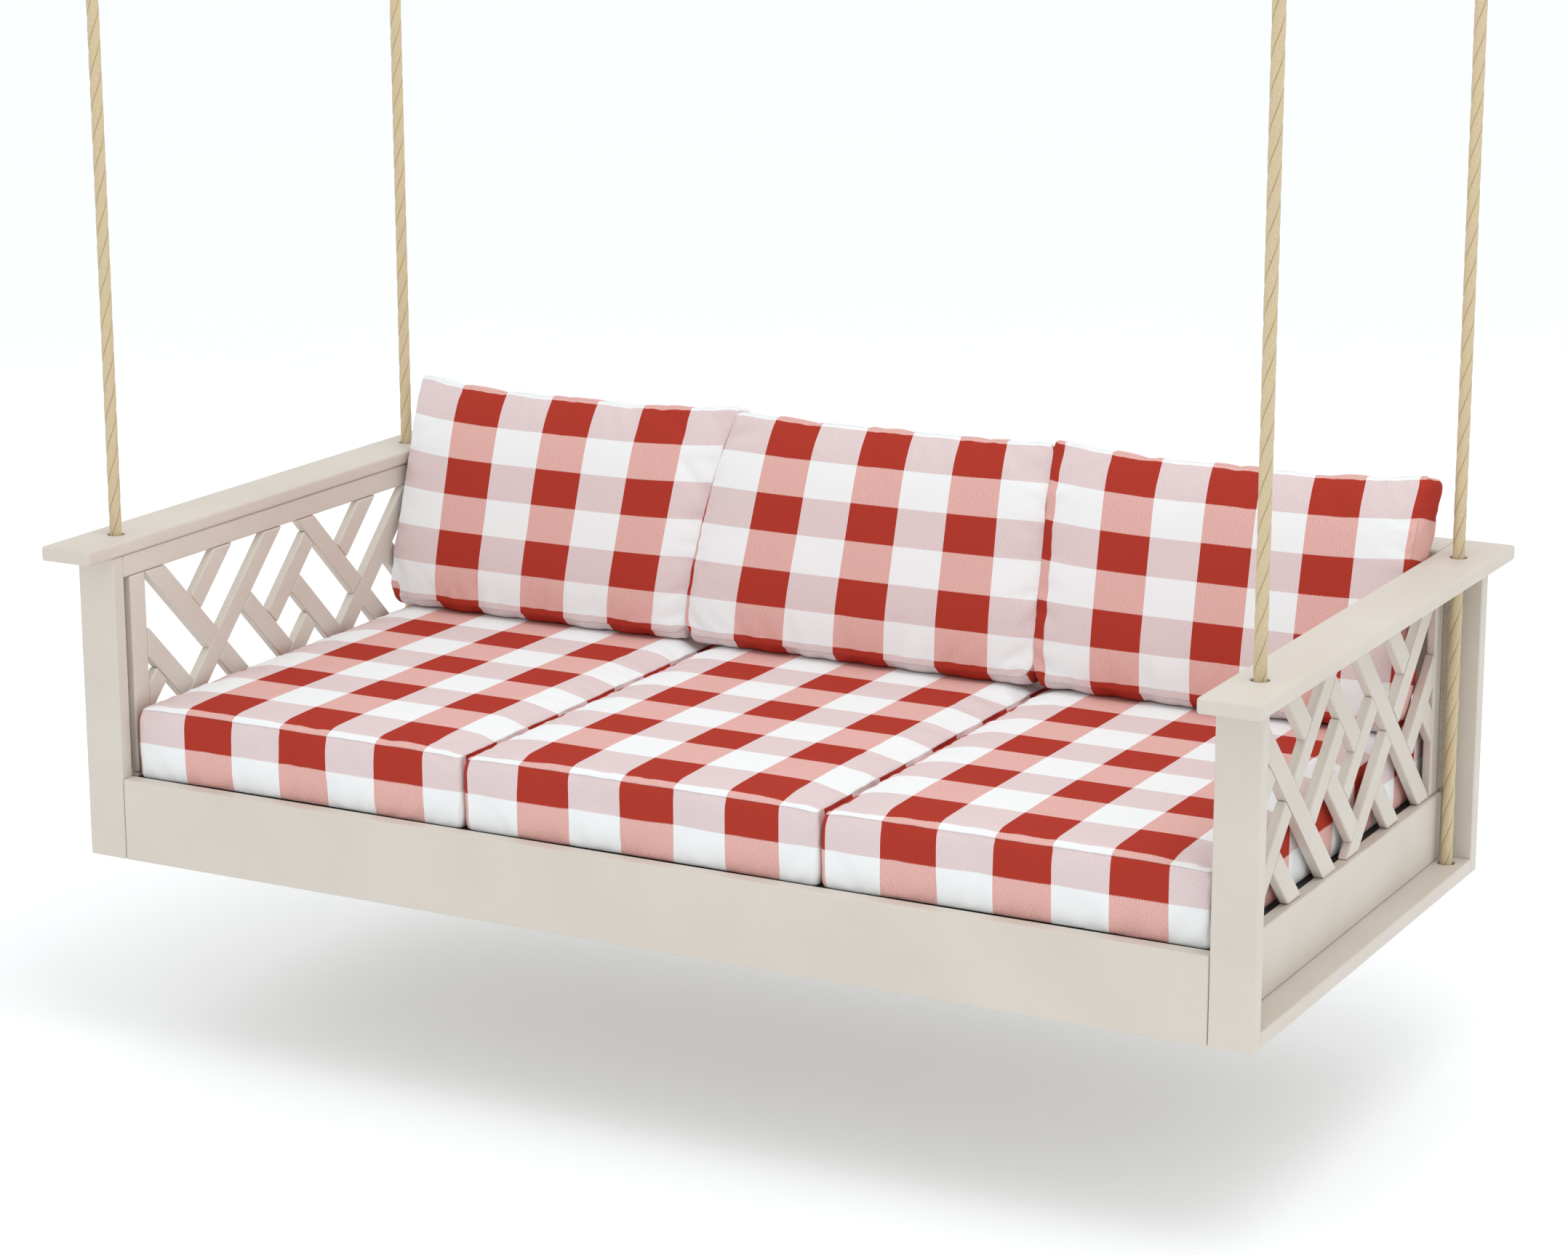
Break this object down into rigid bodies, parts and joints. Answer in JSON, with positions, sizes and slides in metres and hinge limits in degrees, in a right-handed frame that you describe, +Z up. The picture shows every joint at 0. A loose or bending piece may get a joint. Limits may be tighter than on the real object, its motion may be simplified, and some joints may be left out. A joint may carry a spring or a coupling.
{
  "type": "porch swing",
  "caption": "Wide hanging daybed swing: moulded-lumber frame with lattice ends and back, loose check cushions and plumb ropes.",
  "frame": {"origin": "in the plane of the ceiling, above the middle of the swing's width and depth", "axes": "+X to the right seen from the front, -Y out of the front, +Z up"},
  "size_m": [2.125, 1.1274, 1.772],
  "materials": {
    "lumber": "fine orange-peel moulded lumber, sand",
    "check_fabric": "large red and white woven check",
    "tan_rope": "three-strand laid rope, slightly hairy",
    "galvanised_steel": "galvanised",
    "black_mesh": "black open mesh"
  },
  "bodies": {
    "ceiling": {"ceiling_plate_front_left": "galvanised_steel", "ceiling_plate_front_right": "galvanised_steel", "ceiling_plate_rear_left": "galvanised_steel", "ceiling_plate_rear_right": "galvanised_steel"},
    "link_front_left": {"quick_link_front_left": "galvanised_steel"},
    "link_front_right": {"quick_link_front_right": "galvanised_steel"},
    "link_rear_left": {"quick_link_rear_left": "galvanised_steel"},
    "link_rear_right": {"quick_link_rear_right": "galvanised_steel"},
    "rope_front_left": {"thimble_front_left": "galvanised_steel", "rope_eye_front_left": "tan_rope", "rope_upper_front_left": "tan_rope"},
    "rope_front_right": {"thimble_front_right": "galvanised_steel", "rope_eye_front_right": "tan_rope", "rope_upper_front_right": "tan_rope"},
    "rope_rear_left": {"thimble_rear_left": "galvanised_steel", "rope_eye_rear_left": "tan_rope", "rope_upper_rear_left": "tan_rope"},
    "rope_rear_right": {"thimble_rear_right": "galvanised_steel", "rope_eye_rear_right": "tan_rope", "rope_upper_rear_right": "tan_rope"},
    "rope_bend": {"rope_bend_front_left": "tan_rope"},
    "swing_seat": {"post_front_left": "lumber", "post_front_right": "lumber", "post_rear_left": "lumber", "post_rear_right": "lumber", "arm_left": "lumber", "arm_right": "lumber", "back_cap": "lumber", "front_rail": "lumber", "rear_rail": "lumber", "side_rail_left": "lumber", "side_rail_right": "lumber", "side_top_rail_left": "lumber", "side_top_rail_right": "lumber", "back_top_rail": "lumber", "bottom_plate_left": "lumber", "bottom_plate_right": "lumber", "side_lattice_left": "lumber", "side_lattice_right": "lumber", "back_lattice": "lumber", "seat_deck": "lumber", "seat_mesh": "black_mesh", "corner_bracket_front_left": "galvanised_steel", "corner_bracket_front_right": "galvanised_steel", "corner_bracket_rear_left": "galvanised_steel", "corner_bracket_rear_right": "galvanised_steel", "seat_cushion_left": "check_fabric", "seat_cushion_centre": "check_fabric", "seat_cushion_right": "check_fabric", "back_pillow_left": "check_fabric", "back_pillow_centre": "check_fabric", "back_pillow_right": "check_fabric", "rope_lower_front_left": "tan_rope", "rope_lower_front_right": "tan_rope", "rope_lower_rear_left": "tan_rope", "rope_lower_rear_right": "tan_rope", "rope_stop_front_left": "galvanised_steel", "rope_stop_front_right": "galvanised_steel", "rope_stop_rear_left": "galvanised_steel", "rope_stop_rear_right": "galvanised_steel"}
  },
  "joints": [
    {"name": "swing_front_left", "type": "hinge", "parent": "ceiling", "child": "link_front_left", "pos_m": [-1.0092, -0.4338, -0.035], "axis": [1, 0, 0], "range_deg": [-15, 15]},
    {"name": "sway_front_left", "type": "hinge", "parent": "link_front_left", "child": "rope_front_left", "pos_m": [-1.0092, -0.4338, -0.11291], "axis": [0, 1, 0], "range_deg": [-5, 5]},
    {"name": "swing_front_right", "type": "hinge", "parent": "ceiling", "child": "link_front_right", "pos_m": [1.0092, -0.4338, -0.035], "axis": [1, 0, 0], "range_deg": [-15, 15]},
    {"name": "sway_front_right", "type": "hinge", "parent": "link_front_right", "child": "rope_front_right", "pos_m": [1.0092, -0.4338, -0.11291], "axis": [0, 1, 0], "range_deg": [-5, 5]},
    {"name": "swing_rear_left", "type": "hinge", "parent": "ceiling", "child": "link_rear_left", "pos_m": [-1.0092, 0.4338, -0.035], "axis": [1, 0, 0], "range_deg": [-15, 15]},
    {"name": "sway_rear_left", "type": "hinge", "parent": "link_rear_left", "child": "rope_rear_left", "pos_m": [-1.0092, 0.4338, -0.11291], "axis": [0, 1, 0], "range_deg": [-5, 5]},
    {"name": "swing_rear_right", "type": "hinge", "parent": "ceiling", "child": "link_rear_right", "pos_m": [1.0092, 0.4338, -0.035], "axis": [1, 0, 0], "range_deg": [-15, 15]},
    {"name": "sway_rear_right", "type": "hinge", "parent": "link_rear_right", "child": "rope_rear_right", "pos_m": [1.0092, 0.4338, -0.11291], "axis": [0, 1, 0], "range_deg": [-5, 5]},
    {"name": "rope_bend_sway", "type": "hinge", "parent": "rope_front_left", "child": "rope_bend", "pos_m": [-1.0092, -0.4338, -1.23345], "axis": [0, 1, 0], "range_deg": [-5, 5]},
    {"name": "seat_level", "type": "hinge", "parent": "rope_bend", "child": "swing_seat", "pos_m": [-1.0092, -0.4338, -1.23345], "axis": [1, 0, 0], "range_deg": [-15, 15]}
  ],
  "couplings": [
    {"joint": "swing_front_right", "follows": "swing_front_left", "ratio": 1},
    {"joint": "sway_front_right", "follows": "sway_front_left", "ratio": 1},
    {"joint": "swing_rear_left", "follows": "swing_front_left", "ratio": 1},
    {"joint": "sway_rear_left", "follows": "sway_front_left", "ratio": 1},
    {"joint": "swing_rear_right", "follows": "swing_front_left", "ratio": 1},
    {"joint": "sway_rear_right", "follows": "sway_front_left", "ratio": 1},
    {"joint": "rope_bend_sway", "follows": "sway_front_left", "ratio": -1},
    {"joint": "seat_level", "follows": "swing_front_left", "ratio": -1}
  ]
}
